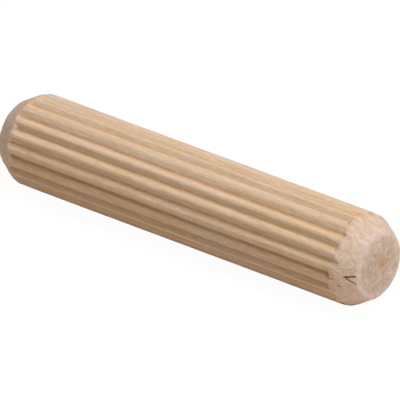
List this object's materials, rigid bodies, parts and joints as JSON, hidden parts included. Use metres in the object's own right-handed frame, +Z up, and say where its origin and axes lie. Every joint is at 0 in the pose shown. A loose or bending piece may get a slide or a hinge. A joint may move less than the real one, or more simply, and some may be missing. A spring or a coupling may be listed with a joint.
{
  "type": "dowel pin",
  "caption": "Straight round wooden dowel pin with fluted sides and a rounded chamfer at both ends, for glued joints between boards.",
  "frame": {"origin": "middle of the pin, on its axis, where the joint line between two boards falls", "axes": "+X along the pin, towards the end with the small split, +Z up with the pin lying on two ridges"},
  "size_m": [0.0382, 0.0078, 0.0078],
  "materials": {
    "wood": "matte"
  },
  "bodies": {
    "root": {"pin": "wood"}
  },
  "joints": []
}
